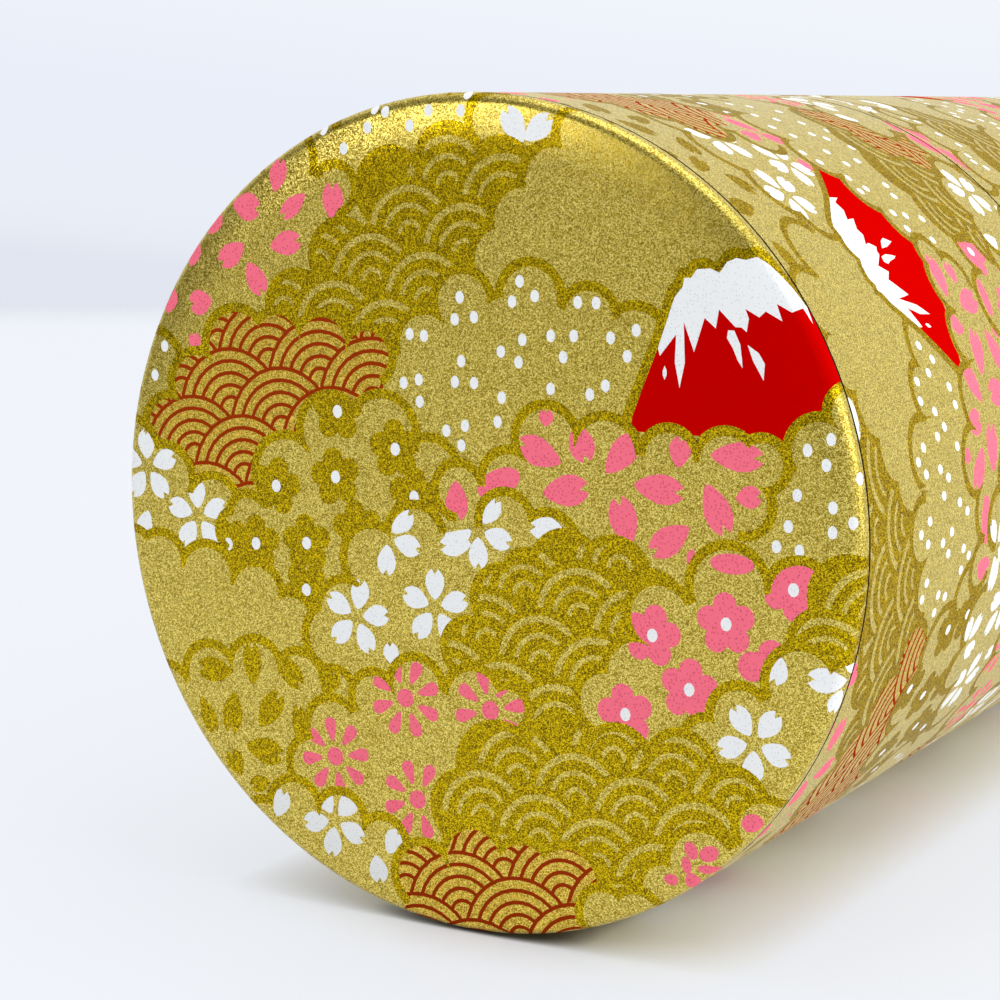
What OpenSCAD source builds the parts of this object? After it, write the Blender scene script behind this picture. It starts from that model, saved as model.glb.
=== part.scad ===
// Paper-covered tea caddy: a double-walled tin canister with a slip-on outer lid and a plug-in
// inner lid with a knob. It stands on Z = 0 with its axis on Z, and the lids lift along +Z.

/* [Overall] */
// Height from the table to the top of the closed caddy
overall_height = 156; // [130:1:180]
// Outside radius over the paper
outer_radius = 40; // [36:0.5:46]

/* [Sheets] */
// Thickness of the tinplate
tin = 0.4; // [0.3:0.05:0.5]
// Thickness of the printed paper
paper = 0.2; // [0.1:0.05:0.3]
// Thickness of the paste between the paper and the tin
paste = 0.05; // [0.02:0.01:0.1]

/* [Outer lid] */
// Height of the outer lid, from its mouth to its top
lid_height = 66; // [44:1:76]
// Width of the hairline between the lid's mouth and the canister's shoulder
shoulder_gap = 0.2; // [0.1:0.05:0.6]
// Radius of the pressed edge of the lid's top plate
edge_round = 0.75; // [0.6:0.05:2.4]
// Width of the hairline between the top plate's edge and the lid's wall
edge_gap = 0.25; // [0.1:0.05:0.5]
// Depth of the top plate's skirt, which plugs into the lid's wall
top_skirt = 4; // [2:0.5:6]
// Depth of the fold at the lid's mouth and at the canister's shoulder
hem_depth = 3; // [2:0.5:6]

/* [Neck] */
// Height of the free room between the neck's rim and the underside of the top plate
head_room = 8.4; // [7:0.1:12]
// Radial clearance of the sliding fits
fit = 0.05; // [0.03:0.01:0.1]
// Depth of the fold at the neck's rim
neck_hem = 5; // [3:0.5:8]

/* [Base] */
// Height of the recessed base panel above the table
base_recess = 2.4; // [1.5:0.1:5]
// Width of the rim that is turned under the canister
base_rim = 2.2; // [1.8:0.1:3]
// Radius of the canister's lower outside edge
base_round = 0.8; // [0.5:0.1:1.2]

/* [Inner lid] */
// Depth of the pan below the neck's rim
pan_depth = 9; // [6:0.5:14]
// Radius of the pan's lower edge
pan_round = 1.4; // [0.8:0.1:2]
// Radius of the stiffening bead pressed in the pan's floor
bead_radius = 26; // [18:1:30]
// Height of that bead above the floor, which is also its tube radius
bead_rise = 0.6; // [0.4:0.1:0.8]
// Radius of the knob's head
knob_radius = 7.5; // [6:0.5:9]
// Height of the knob above the pan's floor
knob_height = 11.6; // [9:0.1:12]
// Radius of the knob's stem
knob_stem = 4; // [3:0.5:5]
// Radius of the rounded edge of the knob's head
knob_edge = 1; // [0.6:0.1:1.2]
// Radius of the crown on the knob's head
knob_crown = 12; // [10:1:20]
// Height of the knob's head, from its edge to its crown
knob_head = 4.2; // [3.6:0.1:5]
// Radius of the knob's foot flare
knob_flare = 1.4; // [1:0.1:2]
// Radius of the rivet's shank
rivet_radius = 1.5; // [1.2:0.1:2]
// Radius of the rivet's head
rivet_head = 3.2; // [2.8:0.1:4]

/* [Hidden] */
$fn = 96;

touch = 0.05;                                  // gap between parts that lie on each other
trim = 0.1;                                    // how far a paper stops short of its sheet's edge
wall_r = outer_radius - paper - paste;         // outside of the tin walls
bore_r = wall_r - tin;                         // inside of the tin walls
mouth_r = bore_r - tin;                        // inside of the folded mouth and shoulder
sleeve_r = mouth_r - fit;                      // outside of the neck sleeve
rim_r = sleeve_r - 2 * tin;                    // inside of the neck's folded rim
plug_r = rim_r - fit;                          // outside of the inner lid's plug
skirt_r = sleeve_r - tin - fit;                // outside of the base plate's skirt

lid_mouth_z = overall_height - lid_height;
shoulder_z = lid_mouth_z - shoulder_gap;
plate_top_z = overall_height - paper - paste;
plate_under_z = plate_top_z - tin;
step_z = plate_top_z - edge_round;             // lower end of the top plate's rounded edge
seam_z = step_z - tin;                         // underside of the top plate's edge
lid_wall_top_z = seam_z - edge_gap;
neck_top_z = plate_under_z - head_room;
pan_floor_z = neck_top_z - pan_depth;          // underside of the pan's floor
pan_top_z = pan_floor_z + tin;
flange_r = mouth_r - 0.25;                     // the inner lid passes the outer lid's mouth
knob_z = pan_top_z + touch;
washer_thick = 0.5;
washer_r = rivet_head + 1.6;
washer_z = pan_floor_z - touch - washer_thick;
rivet_head_thick = 1.1;
rivet_z = washer_z - touch - rivet_head_thick;
rivet_depth = 7;                               // length of the shank inside the knob
knob_top_z = knob_z + knob_height;
knob_head_z = knob_top_z - knob_head;          // lower side of the knob's head

// A tube from radius r_in to r_out and from z0 to z1, as a profile
module band(r_in, r_out, z0, z1) {
    translate([r_in, z0]) square([r_out - r_in, z1 - z0]);
}

// A quarter of a bent sheet, as a profile: outside radius r, thickness t, centred on (x, z).
// side_x and side_z, 1 or -1, say which quarter.
module bend(x, z, r, t, side_x = 1, side_z = 1) {
    translate([x, z]) intersection() {
        difference() {
            circle(r);
            circle(r - t);
        }
        translate([side_x > 0 ? 0 : -r, side_z > 0 ? 0 : -r]) square([r, r]);
    }
}

// A wall whose edge at z_edge is folded inwards over `depth`; up is 1 where the edge is the top one
module hem(r_out, z_edge, depth, up) {
    z_far = z_edge - up * depth;
    z_bend = z_edge - up * tin;
    band(r_out - 2 * tin, r_out, min(z_far, z_bend), max(z_far, z_bend));
    translate([r_out - tin, z_bend]) intersection() {
        circle(tin);
        translate([-tin, up > 0 ? 0 : -tin]) square([2 * tin, tin]);
    }
}

module can_wall() {
    color("darkgoldenrod") rotate_extrude() {
        band(bore_r, wall_r, base_round, shoulder_z - hem_depth);
        hem(wall_r, shoulder_z, hem_depth, 1);
        bend(wall_r - base_round, base_round, base_round, tin, 1, -1);
        band(wall_r - base_rim, wall_r - base_round, 0, tin);
    }
}

module neck_sleeve() {
    color("silver") rotate_extrude() {
        band(sleeve_r - tin, sleeve_r, tin + touch, neck_top_z - neck_hem);
        hem(sleeve_r, neck_top_z, neck_hem, 1);
    }
}

module base_plate() {
    color("goldenrod") rotate_extrude() {
        band(skirt_r - tin, skirt_r, tin + touch, base_recess);
        bend(skirt_r - 1, base_recess - 1 + tin, 1, tin, 1, 1);
        band(0, skirt_r - 1, base_recess, base_recess + tin);
    }
}

module body_paper() {
    color("khaki") rotate_extrude()
        band(outer_radius - paper, outer_radius, base_round + 4 * trim, shoulder_z - trim);
}

module lid_wall() {
    color("darkgoldenrod") rotate_extrude() {
        hem(wall_r, lid_mouth_z, hem_depth, -1);
        band(bore_r, wall_r, lid_mouth_z + hem_depth, lid_wall_top_z);
    }
}

module lid_top_plate() {
    color("goldenrod") rotate_extrude() {
        band(0, wall_r - edge_round, plate_under_z, plate_top_z);
        bend(wall_r - edge_round, step_z, edge_round, tin, 1, 1);
        band(mouth_r, wall_r, seam_z, step_z);
        band(mouth_r, bore_r - fit, seam_z - top_skirt, seam_z);
    }
}

module lid_top_paper() {
    paper_round = edge_round + paste + paper;
    color("khaki") rotate_extrude() {
        band(0, outer_radius - paper_round, overall_height - paper, overall_height);
        bend(outer_radius - paper_round, step_z, paper_round, paper, 1, 1);
        band(outer_radius - paper, outer_radius, seam_z, step_z);
    }
}

module lid_side_paper() {
    color("khaki") rotate_extrude()
        band(outer_radius - paper, outer_radius, lid_mouth_z + trim, lid_wall_top_z);
}

module inner_lid_pan() {
    flange_z = neck_top_z + touch;
    color("gold") rotate_extrude() {
        difference() {
            union() {
                band(plug_r - tin, flange_r, flange_z, flange_z + tin);
                band(plug_r - tin, plug_r, pan_floor_z + pan_round, flange_z);
                bend(plug_r - pan_round, pan_floor_z + pan_round, pan_round, tin, 1, -1);
                band(rivet_radius + fit, plug_r - pan_round, pan_floor_z, pan_top_z);
                translate([bead_radius, pan_floor_z]) circle(bead_rise + tin);
            }
            translate([bead_radius, pan_floor_z]) circle(bead_rise);
            band(bead_radius - 2, bead_radius + 2, pan_floor_z - 3, pan_floor_z);
        }
    }
}

module inner_lid_knob() {
    color("gold") difference() {
        rotate_extrude() {
            band(0, knob_stem, knob_z, knob_head_z + knob_edge);
            // foot flare
            difference() {
                band(0, knob_stem + knob_flare, knob_z, knob_z + knob_flare);
                translate([knob_stem + knob_flare, knob_z + knob_flare]) circle(knob_flare);
            }
            // crowned head with a rounded edge
            band(0, knob_radius - knob_edge, knob_head_z, knob_head_z + knob_edge);
            translate([knob_radius - knob_edge, knob_head_z + knob_edge]) circle(knob_edge);
            intersection() {
                translate([0, knob_top_z - knob_crown]) circle(knob_crown);
                band(0, knob_radius - knob_edge / 2, knob_head_z + knob_edge, knob_top_z);
            }
        }
        translate([0, 0, knob_z - 1]) cylinder(r = rivet_radius + fit, h = rivet_depth + 1);
    }
}

module knob_rivet() {
    color("gainsboro") rotate_extrude() {
        band(0, rivet_radius, rivet_z, knob_z + rivet_depth - 0.3);
        band(0, rivet_head, rivet_z + rivet_head_thick / 2, rivet_z + rivet_head_thick);
        intersection() {
            band(0, rivet_head, rivet_z, rivet_z + rivet_head_thick / 2);
            translate([0, rivet_z + 9.6]) circle(9.6);
        }
    }
}

module knob_washer() {
    color("gainsboro") rotate_extrude()
        band(rivet_radius + fit, washer_r, washer_z, washer_z + washer_thick);
}

can_wall();
neck_sleeve();
base_plate();
body_paper();
lid_wall();
lid_top_plate();
lid_top_paper();
lid_side_paper();
inner_lid_pan();
inner_lid_knob();
knob_rivet();
knob_washer();
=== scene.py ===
import math

import bpy
import numpy as np
from mathutils import Matrix, Vector
from mathutils.geometry import delaunay_2d_cdt


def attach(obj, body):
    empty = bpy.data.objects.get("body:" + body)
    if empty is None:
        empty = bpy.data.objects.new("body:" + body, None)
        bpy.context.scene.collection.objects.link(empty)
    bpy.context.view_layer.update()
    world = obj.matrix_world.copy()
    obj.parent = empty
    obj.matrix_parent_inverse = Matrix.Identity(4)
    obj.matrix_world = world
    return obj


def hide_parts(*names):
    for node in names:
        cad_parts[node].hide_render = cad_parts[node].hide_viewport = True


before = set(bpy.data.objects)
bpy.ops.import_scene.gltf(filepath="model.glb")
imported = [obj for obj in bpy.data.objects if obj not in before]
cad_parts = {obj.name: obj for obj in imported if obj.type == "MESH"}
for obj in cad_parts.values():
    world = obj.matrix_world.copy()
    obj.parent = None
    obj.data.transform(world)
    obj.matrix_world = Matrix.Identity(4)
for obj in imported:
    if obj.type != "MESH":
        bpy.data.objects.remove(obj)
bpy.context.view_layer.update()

# ----------
# Sizes, in millimetres unless a name says otherwise. The print is drawn flat in millimetres.
MM = 0.001
HEIGHT = 156.0  # over all
RADIUS = 40.0  # outside of the paper
PAPER = 0.2  # paper thickness
ROUND = 1.0  # rounding of the paper at the lid's rim
TOP_SEAM = 154.6  # where the top's paper ends
SIDE_TOP = 154.27  # where the lid's side paper begins
SIDE_ZERO = 154.475  # the height at which the side's print has y = 0
SEAM_SHADE_BELT = (153.9, 154.9)  # heights at which the tin behind the lid's seam is darkened with painted shade, for the shade in the seam's crease
TOP_GROW = 0.9925  # the top's print is laid on the lid at this scale
TOP_SHIFT = (0.9, 0.29)  # and moved this much
LID_MOUTH = 90.1  # lower edge of the lid's side paper
SHOULDER = 89.7  # upper edge of the body's paper
BODY_FOOT = 1.2  # lower edge of the body's paper
BAND = 0.95  # width of the dark line round each cloud
REPEAT = 2 * math.pi * RADIUS / 3  # the print repeats three times round the caddy
ROW = 78.0  # and every 78 mm down it, each row half a repeat over
TURN = math.radians(17)  # the top's print is turned this much against the side's
TOP_FROM_SIDE = (-5.18, 33.04)  # and moved this much

# ----------
# Shapes of the print. A shape is ("round", x, y, rx, ry, turn, corners) or ("outline", points).


CORNERS = 28  # of the large circles
DOME_CORNERS = 15  # of the half circles in the waves


def circle(x, y, r, corners=CORNERS):
    return ("round", x, y, r, r, 0.0, corners)


def outline(points):
    return ("outline", np.array(points, float))


def corners_of(shape):
    if shape[0] == "outline":
        return shape[1]
    _, x, y, rx, ry, turn, n = shape
    a = np.arange(n) * 2 * math.pi / n
    px, py = rx * np.cos(a), ry * np.sin(a)
    c, s = math.cos(turn), math.sin(turn)
    return np.stack([x + px * c - py * s, y + px * s + py * c], 1)


def reach_of(shape):
    if shape[0] == "outline":
        return (*shape[1].min(0), *shape[1].max(0))
    r = max(shape[3], shape[4])
    return (shape[1] - r, shape[2] - r, shape[1] + r, shape[2] + r)


def moved(shape, turn=0.0, dx=0.0, dy=0.0):
    c, s = math.cos(turn), math.sin(turn)
    if shape[0] == "outline":
        p = shape[1]
        return ("outline", np.stack([p[:, 0] * c - p[:, 1] * s + dx, p[:, 0] * s + p[:, 1] * c + dy], 1))
    _, x, y, rx, ry, own, n = shape
    return ("round", x * c - y * s + dx, x * s + y * c + dy, rx, ry, own + turn, n)


def hits(shape, p):
    """The numbers of the points p (n x 2, sorted by x) that lie in the polygon of the shape's corners."""
    x0, y0, x1, y1 = reach_of(shape)
    first, last = np.searchsorted(p[:, 0], (x0, x1))
    y = p[first:last, 1]
    near = first + np.flatnonzero((y >= y0) & (y <= y1))
    q = p[near]
    if shape[0] == "round":
        _, x, y, rx, ry, turn, n = shape
        c, s = math.cos(turn), math.sin(turn)
        dx, dy = q[:, 0] - x, q[:, 1] - y
        ux, uy = (dx * c + dy * s) / rx, (dy * c - dx * s) / ry
        part = 2 * math.pi / n
        a = np.mod(np.arctan2(uy, ux), part) - part / 2
        return near[np.hypot(ux, uy) * np.cos(a) <= math.cos(part / 2)]
    pts = shape[1]
    hit = np.zeros(len(q), bool)
    for (ax, ay), (bx, by) in zip(pts, np.roll(pts, -1, 0)):
        if ay == by:
            continue
        cross = (ay > q[:, 1]) != (by > q[:, 1])
        hit ^= cross & (q[:, 0] < (bx - ax) * (q[:, 1] - ay) / (by - ay) + ax)
    return near[hit]


# ----------
# Motifs: each gives a list of (shape, ink), back to front
PETAL = [
    (-0.5, 0), (-0.4, 0.19), (-0.2, 0.38), (0.02, 0.5), (0.24, 0.47), (0.4, 0.33), (0.5, 0.16), (0.31, 0),
]


def petal(ink, x, y, turn, length, width):
    """A cherry petal, pointed at its root, notched at its end; turn is its way from the root, in degrees."""
    upper = [(u * length, v * width) for u, v in PETAL]
    lower = [(u, -v) for u, v in upper[-2:0:-1]]
    return [(moved(outline(upper + lower), math.radians(turn), x, y), ink)]


def many(draw, ink, *spots):
    """The marks of one motif, drawn at several places."""
    return [mark for spot in spots for mark in draw(ink, *spot)]


def petals(ink, *spots):
    return many(petal, ink, *spots)


def around(x, y, r, turn, count):
    """Evenly spaced places on a circle, with the angle of each."""
    angles = [math.radians(turn + 360 / count * k) for k in range(count)]
    return [(x + r * math.cos(a), y + r * math.sin(a), a) for a in angles]


def sakura(ink, x, y, turn):
    """A cherry blossom of five petals."""
    marks = []
    for px, py, a in around(x, y, 2.25, turn, 5):
        marks += petal(ink, px, py, math.degrees(a), 3.05, 2.15)
    return marks


def ume(ink, x, y, turn):
    """A plum blossom of five round lobes with a white centre."""
    lobes = [(circle(px, py, 1.2, 12), ink) for px, py, _ in around(x, y, 1.75, turn, 5)]
    return [(circle(x, y, 1.45, 10), ink), *lobes, (("round", x, y, 0.55, 0.65, 0.0, 10), "white")]


def kiku(ink, x, y, turn):
    """A chrysanthemum: a round centre and eight rays."""
    upper = [(-1.15, 0.16), (-0.5, 0.42), (0.4, 0.68), (0.95, 0.6), (1.2, 0.25)]
    ray = outline(upper + [(u, -v) for u, v in upper[::-1]])
    rays = [(moved(ray, a, px, py), ink) for px, py, a in around(x, y, 2.75, turn, 8)]
    return [(circle(x, y, 0.95, 12), ink), *rays]


def dots(*spots):
    return [(("round", x, y, 0.47, 0.6, 0.0, 10), "white") for x, y in spots]


def blobs(ink, corners, *spots):
    """Oval marks: x, y, the two radii and the turn in degrees."""
    return [(("round", x, y, rx, ry, math.radians(turn), corners), ink) for x, y, rx, ry, turn in spots]


def waves(top, along, down, rings, whole, outer, area):
    """Overlapping scales of rings: (x, top, marks) for each. top is the top of one scale, along and down lead
    to the next ones, and area is the box in which they are wanted. Each ring is (outer radius, ink), from the
    outside in. The first ones, as many as whole says, are whole circles and the others domes."""
    spots = []
    for i in range(-9, 10):
        for j in range(-9, 10):
            x = top[0] + i * along[0] + j * down[0]
            y = top[1] - outer + i * along[1] + j * down[1]
            if area[0] - outer < x < area[2] + outer and area[1] - outer < y < area[3] + outer:
                spots.append((x, y))
    dome = np.arange(DOME_CORNERS) * math.pi / (DOME_CORNERS - 1)
    scales = []
    for x, y in sorted(spots, key=lambda spot: -spot[1]):
        marks = [(circle(x, y, r), ink) for r, ink in rings[:whole]]
        for r, ink in rings[whole:]:
            marks.append((outline(np.stack([x + r * np.cos(dome), y + r * np.sin(dome)], 1)), ink))
        scales.append((x, y + outer, marks))
    return scales


SCALE_DEPTH = 3.0  # how far down a gold scale has to lie in its cloud
GOLD_RINGS = [
    (5.4, "gold_dark"), (4.6, "gold"), (3.95, "gold_dark"), (2.95, "gold"), (2.45, "gold_dark"),
    (1.35, "gold"), (0.9, "gold_dark"),
]
RED_LINE = ((0.21, "red_line"), (-0.18, "gold_warm"))
RED_RINGS = [(r + half, ink) for r in (6.1, 4.9, 3.7, 2.5, 1.3) for half, ink in RED_LINE]


def gold_waves(top, along, down, area):
    return waves(top, along, down, GOLD_RINGS, 1, 4.6, area)


def red_waves(top, along, down, area):
    """Red waves, which the clouds cut anywhere."""
    return [mark for _, _, marks in waves(top, along, down, RED_RINGS, 2, 6.1, area) for mark in marks]


def within(shapes, p):
    """Which of the points p (n x 2) lie in one of the shapes."""
    order = np.argsort(p[:, 0])
    inside = np.zeros(len(p), bool)
    for shape in shapes:
        inside[order[hits(shape, p[order])]] = True
    return inside


def cloud(rank, bumps, skirt, marks=(), scales=()):
    """A cloud: round bumps joined by the polygon through their centres and the skirt's points, with a dark
    line round the bumps. A higher rank is drawn later, over the others. A cloud of gold waves has scales
    instead of marks; it is dark, and keeps the scales that lie in it with more than their rim."""
    ground = "gold_dark" if scales else "gold"
    core = outline([(x, y) for x, y, _ in bumps] + list(skirt))
    band = [circle(x, y, r + BAND) for x, y, r in bumps]
    body = [circle(x, y, r) for x, y, r in bumps] + [core]
    kept = [parts for x, y, parts in scales if within(body, np.array([(x, y - SCALE_DEPTH)]))[0]]
    marks = list(marks) + [mark for parts in kept for mark in parts]
    seen = [mark for mark in marks if within(body, corners_of(mark[0])).any()]
    return {"rank": rank, "band": band, "body": body, "ground": ground, "marks": seen}


# ----------
# The print as it lies on the lid's top, centre at 0,0
RIDGE = [
    (19.3, 17.2), (20.2, 19.8), (20.9, 21.8), (21.7, 22.8), (21.85, 23.6), (22.5, 23.6), (23.1, 24.4),
    (24.4, 24.5), (25.3, 24.15), (26, 25.1), (26.9, 25.5), (27.8, 25.35), (28.9, 25.65), (29.9, 25.1),
    (31.1, 24.15), (33.9, 21.8),
]
MOUNTAIN = [
    (16.8, 10.9), (18, 14), *RIDGE, (36.5, 20.1), (39.2, 18.4), (42.5, 14), (44, 9.5), (16.6, 9.5),
]
SNOW = [
    *RIDGE, (34.3, 20.1), (33.3, 21.4), (32.3, 20.9), (30.85, 21.6), (31.4, 20.1), (29.8, 20.9),
    (29.2, 20.35), (27.85, 21.05), (28.2, 20.2), (28, 19), (27.5, 19.4), (26.9, 19.4), (25.3, 20.9),
    (25, 19.2), (23.9, 20.1), (22.9, 17), (21.85, 19.65), (22, 16), (21.5, 13.7), (21, 16),
    (21.1, 18.5), (19.5, 16.5),
]
DRIPS = [
    [(20, 15.65), (20.2, 15.2), (20.2, 14.8), (20, 14.35), (19.8, 14.8), (19.8, 15.2)],
    [
        (26.2, 19.1), (26.8, 19.1), (27.4, 17.9), (27.6, 16.5), (27.65, 15.8), (27.15, 16.5), (26.7, 17.5),
        (26.1, 18.4),
    ],
    [(28.1, 17.9), (29.2, 17.2), (29.8, 16.3), (29.7, 14.8), (29.2, 15.6), (28.65, 16.5)],
]
MOUNTAIN_FOOT = (29, 9.5)
MOUNTAIN_LINE = (1.085, 1.062)  # its dark line is the mountain itself, this much larger


def mountain(rank):
    """The red mountain under snow, with its dark line along both slopes and the top."""
    fx, fy = MOUNTAIN_FOOT
    wider, higher = MOUNTAIN_LINE
    band = [(fx + (x - fx) * wider, fy + (y - fy) * higher) for x, y in MOUNTAIN]
    marks = [(outline(SNOW), "white")] + [(outline(drip), "white") for drip in DRIPS]
    body = [outline(MOUNTAIN)]
    return {"rank": rank, "band": [outline(band)], "body": body, "ground": "red", "marks": marks}


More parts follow.
